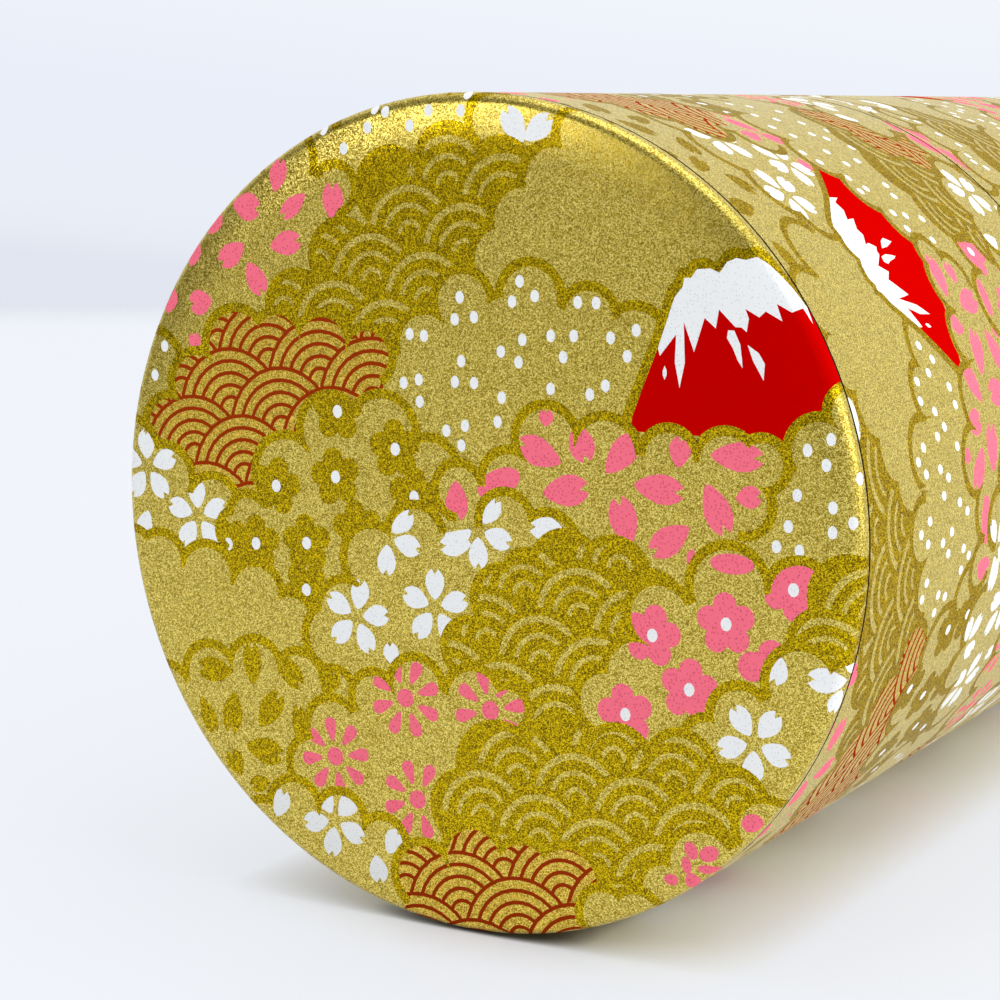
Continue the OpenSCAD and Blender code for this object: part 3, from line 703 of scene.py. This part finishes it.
# ----------
# Materials
FLAKES = 10500  # flakes of the metallic inks, per metre
FLAKE_TILT = 0.13
WEAVE = 3200  # pores of the matte inks, per metre
BUMP_DEPTH = 0.0001  # metres
ROLLED = (1.0, 1.0, 0.08)  # streaks along the height
TURNED = (0.3, 0.3, 1.0)  # streaks round the knob
# painted shade: the dark tones of the tin in the lid's seam, standing in for the shade in the crease
SEAM_SHADE_TONES = ((0.02, 0.016, 0.01), (0.03, 0.024, 0.015))


def feed(tree, node, sockets):
    """Gives a node's inputs, by name or number, a constant or a link from the socket given."""
    for name, value in sockets.items():
        if isinstance(value, bpy.types.NodeSocket):
            tree.links.new(value, node.inputs[name])
        else:
            node.inputs[name].default_value = value
    return node


def new_node(tree, kind, sockets, operation=None):
    node = tree.nodes.new("ShaderNode" + kind)
    if operation:
        node.operation = operation
    return feed(tree, node, sockets)


def maths(tree, operation, *sources):
    """The result of a Math node on sockets or numbers."""
    return new_node(tree, "Math", dict(enumerate(sources)), operation).outputs["Value"]


def vectors(tree, operation, sockets):
    return new_node(tree, "VectorMath", sockets, operation).outputs["Vector"]


def dot(tree, source, direction):
    """How far a vector goes along a direction."""
    return new_node(tree, "VectorMath", {0: source, 1: direction}, "DOT_PRODUCT").outputs["Value"]


def in_range(tree, source, low, high, to_low=0.0, to_high=1.0):
    """A value between low and high, brought between to_low and to_high and kept there."""
    limits = {"From Min": low, "From Max": high, "To Min": to_low, "To Max": to_high}
    return new_node(tree, "MapRange", {"Value": source, **limits}).outputs["Result"]


def place_in(tree):
    """Object coordinates."""
    return tree.nodes.new("ShaderNodeTexCoord").outputs["Object"]


def mixed_colour(tree, blend="MIX"):
    """A colour mix: inputs 0 (share), 6 and 7 (colours), output 2."""
    node = tree.nodes.new("ShaderNodeMix")
    node.data_type = "RGBA"
    node.blend_type = blend
    return node


def mixed_shader(tree, share, first, second):
    return new_node(tree, "MixShader", {"Fac": share, 1: first, 2: second}).outputs["Shader"]


def new_material(name):
    material = bpy.data.materials.new(name)
    material.use_nodes = True
    tree = material.node_tree
    tree.nodes.clear()
    shader = tree.nodes.new("ShaderNodeBsdfPrincipled")
    out = new_node(tree, "OutputMaterial", {"Surface": shader.outputs["BSDF"]})
    return material, tree, shader, out


def noise(tree, scale, detail, stretch=None):
    """A noise texture in object coordinates, scale per metre."""
    source = place_in(tree)
    if stretch is not None:
        source = new_node(tree, "Mapping", {"Vector": source, "Scale": stretch}).outputs["Vector"]
    return new_node(tree, "TexNoise", {"Vector": source, "Scale": scale, "Detail": detail}).outputs["Fac"]


def cells(tree, scale):
    """A Voronoi texture in object coordinates, scale per metre."""
    return new_node(tree, "TexVoronoi", {"Vector": place_in(tree), "Scale": scale})


def ramp(tree, source, stops, target):
    """Colours along a value: stops are (position, (r, g, b)) or (position, grey)."""
    node = new_node(tree, "ValToRGB", {"Fac": source})
    elements = node.color_ramp.elements
    while len(elements) < len(stops):
        elements.new(0.5)
    for element, (position, colour) in zip(elements, stops):
        element.position = position
        rgb = colour if isinstance(colour, tuple) else (colour, colour, colour)
        element.color = (*rgb, 1.0)
    tree.links.new(node.outputs["Color"], target)


def tones(dark, light):
    return [(0.35, dark), (0.65, light)]


def uneven(tree, source, shader, rough, spread):
    """Roughness that varies by the spread round its mean."""
    ramp(tree, source, [(0.3, rough - spread), (0.7, rough + spread)], shader.inputs["Roughness"])


def bump(tree, source, shader, strength):
    node = new_node(tree, "Bump", {"Strength": strength, "Distance": BUMP_DEPTH, "Height": source})
    tree.links.new(node.outputs["Normal"], shader.inputs["Normal"])


def metallic_ink(name, flake_colours, edge, rough, varnish):
    """Printing ink with metal powder: flakes of slightly different colour (dark, middle, light), each at its
    own small tilt, under a thin film of varnish. edge is the colour at grazing angles."""
    material, tree, shader, _ = new_material(name)
    flakes = cells(tree, FLAKES).outputs["Color"]
    red = new_node(tree, "SeparateColor", {"Color": flakes}).outputs["Red"]
    ramp(tree, red, list(zip((0.08, 0.5, 0.92), flake_colours)), shader.inputs["Base Color"])
    uneven(tree, noise(tree, 700, 3.0), shader, rough, 0.04)
    lean = vectors(tree, "SUBTRACT", {0: flakes, 1: (0.5, 0.5, 0.5)})
    lean = vectors(tree, "SCALE", {0: lean, "Scale": FLAKE_TILT})
    side = tree.nodes.new("ShaderNodeNewGeometry").outputs["Normal"]
    lean = vectors(tree, "NORMALIZE", {0: vectors(tree, "ADD", {0: lean, 1: side})})
    feed(tree, shader, {
        "Metallic": 0.9, "Specular IOR Level": 0.2, "Specular Tint": (*edge, 1.0),
        "Coat Weight": varnish, "Coat Roughness": 0.3, "Normal": lean,
    })
    return material


def matte_ink(name, shade, colour, pores=0.1, rough=0.6, gloss=0.1):
    """Printing ink on the paper's fine weave: small pores a little darker than the ink."""
    material, tree, shader, _ = new_material(name)
    weave = feed(tree, cells(tree, WEAVE), {"Randomness": 0.8}).outputs["Distance"]
    ramp(tree, weave, [(pores, shade), (pores + 0.2, colour)], shader.inputs["Base Color"])
    fibre = noise(tree, 900, 4.0)
    uneven(tree, fibre, shader, rough, 0.08)
    bump(tree, fibre, shader, 0.12)
    shader.inputs["Specular IOR Level"].default_value = gloss
    return material


def sheet_metal(name, dark, light, rough, streak=ROLLED, belt=None):
    """Tinplate with the fine streaks it gets from rolling, darkened with painted shade in a belt of heights
    if one is given.
    """
    material, tree, shader, _ = new_material(name)
    shader.inputs["Metallic"].default_value = 1.0
    streaks = noise(tree, 90, 4.0, streak)
    if belt is None:
        ramp(tree, streaks, tones(dark, light), shader.inputs["Base Color"])
    else:
        # painted shade: inside the belt the tin's colour is mixed towards the dark seam tones
        height = in_range(tree, dot(tree, place_in(tree), (0.0, 0.0, 1.0)), belt[0] * MM, belt[1] * MM)
        mix = mixed_colour(tree)
        ramp(tree, height, [(0.0, 0.0), (0.2, 1.0), (0.8, 1.0), (1.0, 0.0)], mix.inputs[0])
        ramp(tree, streaks, tones(dark, light), mix.inputs[6])
        ramp(tree, streaks, tones(*SEAM_SHADE_TONES), mix.inputs[7])
        tree.links.new(mix.outputs[2], shader.inputs["Base Color"])
    uneven(tree, noise(tree, 160, 3.0), shader, rough, 0.02)
    bump(tree, streaks, shader, 0.02)
    return material


GOLD_FLAKES = ((0.26, 0.175, 0.003), (0.58, 0.425, 0.042), (0.97, 0.80, 0.21))
DARK_FLAKES = ((0.12, 0.070, 0.0), (0.37, 0.25, 0.0), (0.88, 0.63, 0.004))
WARM_FLAKES = ((0.27, 0.155, 0.001), (0.62, 0.39, 0.022), (1.0, 0.74, 0.13))  # of the gold in the red waves
INK_MATERIALS = [
    metallic_ink("ink_gold", GOLD_FLAKES, (0.97, 0.91, 0.66), 0.32, 0.3),
    metallic_ink("ink_gold_dark", DARK_FLAKES, (0.62, 0.5, 0.2), 0.3, 0.1),
    metallic_ink("ink_gold_warm", WARM_FLAKES, (0.97, 0.86, 0.55), 0.32, 0.3),
    matte_ink("ink_pink", (0.60, 0.07, 0.13), (0.85, 0.148, 0.215), pores=0.16),
    matte_ink("ink_white", (0.58, 0.59, 0.59), (0.78, 0.79, 0.785)),
    matte_ink("ink_red", (0.43, 0.0002, 0.0), (0.475, 0.0003, 0.0), rough=0.5, gloss=0.0),
    matte_ink("ink_red_line", (0.22, 0.020, 0.002), (0.28, 0.028, 0.003), rough=0.5, gloss=0.0),
    # painted shade: the sheets' edges and inner faces are near black, standing in for the shade in the seams
    matte_ink("paper_edge_painted_shade", (0.030, 0.022, 0.012), (0.045, 0.034, 0.02), rough=0.8),
]  # in the order of INKS
GOLD_TIN = ((0.52, 0.40, 0.15), (0.68, 0.55, 0.25), 0.32)
tin = sheet_metal("tinplate", (0.65, 0.65, 0.635), (0.72, 0.72, 0.70), 0.3)
tin_gold = sheet_metal("tinplate_gold", *GOLD_TIN)
# the lid's tin, with painted shade in the belt behind the seam
tin_lid = sheet_metal("tinplate_gold_lid", *GOLD_TIN, belt=SEAM_SHADE_BELT)
knob = sheet_metal("knob_metal", (0.66, 0.66, 0.65), (0.78, 0.78, 0.76), 0.16, TURNED)

NODE_MATERIALS = {
    "can_wall": tin_gold,
    "neck_sleeve": tin,
    "base_plate": tin_gold,
    "lid_wall": tin_lid,
    "lid_top_plate": tin_lid,
    "inner_lid_pan": tin,
    "inner_lid_knob": knob,
    "knob_rivet": tin,
    "knob_washer": tin,
}
for node, material in NODE_MATERIALS.items():
    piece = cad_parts[node]
    piece.data.materials.clear()
    piece.data.materials.append(material)

top_sheet("print_lid_top", "lid", "lid_top_paper")
side_sheet("print_lid_side", LID_MOUTH, SIDE_TOP, "lid", "lid_side_paper")
side_sheet("print_body", BODY_FOOT, SHOULDER, "body", "body_paper")

# ----------
# Camera: in its view +Y is up, so that the upright caddy lies on its side, its lid in front
CAMERA_PLACE = (120.82, 38.62, 358.91)
CAMERA_TURN = math.radians(29.974)  # about +Y
CAMERA_DOWN = math.radians(8.794)

scene = bpy.context.scene
camera_data = bpy.data.cameras.new("camera")
camera_data.sensor_width = 36
camera_data.lens = 91.47
camera_data.clip_start = 0.01
camera_data.clip_end = 20
camera = bpy.data.objects.new("camera", camera_data)
scene.collection.objects.link(camera)
way = Matrix.Rotation(CAMERA_TURN, 4, "Y") @ Matrix.Rotation(-CAMERA_DOWN, 4, "X")
camera.matrix_world = Matrix.Translation(Vector(CAMERA_PLACE) * MM) @ way
scene.camera = camera

# ----------
# Stage: the table that the caddy lies on, the backdrop and the light, in metres
TABLE_TONES = ((0.835, 0.86, 0.90), (0.86, 0.885, 0.925))
TABLE_PALE = (0.835, 0.865, 0.915)  # the table as the camera would see it with no shadow
PALE_SHARE = 0.8
SHADOW_REACH = 0.01  # how far the contact shadow reaches
LINE_REACH = 0.003  # and the dark line of contact in it
METAL_OPEN = 0.3  # by how much that shadow is softer where metal shows the table
AHEAD = Vector((-math.sin(CAMERA_TURN), 0.0, -math.cos(CAMERA_TURN)))  # the camera's way, level
ACROSS = AHEAD.cross(Vector((0, 1, 0)))
FADE = (0.55, 0.65)  # where the table fades out, measured ahead from the origin
TABLE_Y = -RADIUS * MM - 0.0002
BACKDROP = [
    (0.03, (0.755, 0.787, 0.868)), (0.09, (0.795, 0.828, 0.905)), (0.17, (0.826, 0.856, 0.935)),
    (0.45, (0.826, 0.856, 0.945)), (0.85, (0.88, 0.905, 0.965)), (1.0, (0.90, 0.925, 0.98)),
]
BACKDROP_UP = (0.10, 1.0, -0.06)
BACKDROP_ENDS = (-0.08, 0.08)
BEHIND = [(0.45, 1.0), (0.85, 0.17)]  # strength, darker towards the next
BEHIND_CAMERA = (-0.55, 0.45, 0.70)
ROOM = [
    (0.0, (0.92, 0.93, 0.95)), (0.55, (0.92, 0.93, 0.95)), (0.8, (0.50, 0.51, 0.53)),
    (0.97, (0.18, 0.18, 0.19)),
]
ROOM_FRONT = (0.25, 0.10, 0.96)
WINDOW = (0.72, 1.85)  # strength of the room's light, from the dark side to the window's side


def ray_mask(tree):
    """1 for what the camera sees, also in metal and through glass, and the light path node."""
    path = tree.nodes.new("ShaderNodeLightPath")
    seen = maths(tree, "MAXIMUM", path.outputs["Is Camera Ray"], path.outputs["Is Glossy Ray"])
    return maths(tree, "MAXIMUM", seen, path.outputs["Is Transmission Ray"]), path


def openness(tree, reach):
    """1 where nothing is nearer than the reach, less where something is."""
    return new_node(tree, "AmbientOcclusion", {"Distance": reach}).outputs["AO"]


def table_material():
    """White table top, seen from its upper side only, so that it doesn't hide the caddy from below. It fades
    out at its far edge."""
    material, tree, shader, out = new_material("table_white")
    # painted shade: the table's colour is darkened by ambient occlusion in a dark line where the caddy
    # touches it
    painted_contact_line = feed(tree, mixed_colour(tree, "MULTIPLY"), {0: 1.0})
    ramp(tree, noise(tree, 4, 3.0), tones(*TABLE_TONES), painted_contact_line.inputs[6])
    ramp(tree, openness(tree, LINE_REACH), [(0.12, 0.02), (0.5, 1.0)], painted_contact_line.inputs[7])
    feed(tree, shader, {"Roughness": 0.35, "Base Color": painted_contact_line.outputs[2]})
    pale = new_node(tree, "Emission", {"Color": (*TABLE_PALE, 1.0)})
    mask, path = ray_mask(tree)
    # painted shadow: near the caddy ambient occlusion takes back the pale share, so the contact shadow is
    # partly painted and partly the lit table's own shade
    shadow = maths(tree, "POWER", openness(tree, SHADOW_REACH), 2.0)
    softer = maths(tree, "MULTIPLY_ADD", path.outputs["Is Glossy Ray"], METAL_OPEN, shadow)
    pale_part = maths(tree, "MULTIPLY", mask, PALE_SHARE)
    share = maths(tree, "MULTIPLY", pale_part, maths(tree, "MINIMUM", softer, 1.0))
    top = mixed_shader(tree, share, shader.outputs["BSDF"], pale.outputs["Emission"])
    clear = tree.nodes.new("ShaderNodeBsdfTransparent")
    side = tree.nodes.new("ShaderNodeNewGeometry")
    fade = in_range(tree, dot(tree, place_in(tree), AHEAD), *FADE)
    hidden = maths(tree, "MAXIMUM", fade, side.outputs["Backfacing"])
    feed(tree, out, {"Surface": mixed_shader(tree, hidden, top, clear.outputs["BSDF"])})
    return material


def on_table(ahead, across):
    """A point of the table top, measured from under the camera."""
    spot = camera.location + AHEAD * ahead + ACROSS * across
    return (spot.x, TABLE_Y, spot.z)


TABLE_CORNERS = [on_table(-0.5, -0.9), on_table(-0.5, 0.9), on_table(1.2, 0.9), on_table(1.2, -0.9)]
mesh = bpy.data.meshes.new("table")
mesh.from_pydata(TABLE_CORNERS, [], [(0, 1, 2, 3)])
mesh.materials.append(table_material())
table = bpy.data.objects.new("table", mesh)
scene.collection.objects.link(table)

world = bpy.data.worlds.new("world")
scene.world = world
world.use_nodes = True
tree = world.node_tree
tree.nodes.clear()
where = tree.nodes.new("ShaderNodeTexCoord").outputs["Generated"]
mask, path = ray_mask(tree)
seen = tree.nodes.new("ShaderNodeBackground")
ramp(tree, in_range(tree, dot(tree, where, BACKDROP_UP), *BACKDROP_ENDS), BACKDROP, seen.inputs["Color"])
# the camera itself never sees the darker room behind it
behind = maths(tree, "SUBTRACT", dot(tree, where, BEHIND_CAMERA), path.outputs["Is Camera Ray"])
ramp(tree, behind, BEHIND, seen.inputs["Strength"])
lit = tree.nodes.new("ShaderNodeBackground")
ramp(tree, dot(tree, where, ROOM_FRONT), ROOM, lit.inputs["Color"])
feed(tree, lit, {"Strength": in_range(tree, dot(tree, where, (1.0, 0.0, 0.0)), -1.0, 1.0, *WINDOW)})
both = mixed_shader(tree, mask, lit.outputs["Background"], seen.outputs["Background"])
new_node(tree, "OutputWorld", {"Surface": both})


def soft_light(name, place, aim_height, size, power, colour):
    """A rectangular lamp aimed at the caddy's axis."""
    data = bpy.data.lights.new(name, "AREA")
    data.shape = "RECTANGLE"
    data.size = size[0]
    data.size_y = size[1]
    data.energy = power
    data.color = colour
    lamp = bpy.data.objects.new(name, data)
    lamp.location = place
    lamp.rotation_euler = (Vector((0, 0, aim_height)) - Vector(place)).to_track_quat("-Z", "Y").to_euler()
    scene.collection.objects.link(lamp)


soft_light("front_left", (-0.58, 0.46, 1.17), 0.15, (0.5, 0.14), 2.2, (1.0, 0.99, 0.97))
soft_light("front_right", (0.85, 0.40, 0.50), 0.14, (0.3, 0.3), 0.6, (1.0, 0.99, 0.97))
soft_light("window_right", (0.90, 0.36, -0.02), 0.08, (0.7, 0.6), 2.6, (1.0, 0.97, 0.93))
soft_light("overhead", (0.10, 0.95, 0.0), 0.05, (0.8, 0.8), 2.7, (0.98, 0.99, 1.0))

scene.view_settings.view_transform = "Standard"
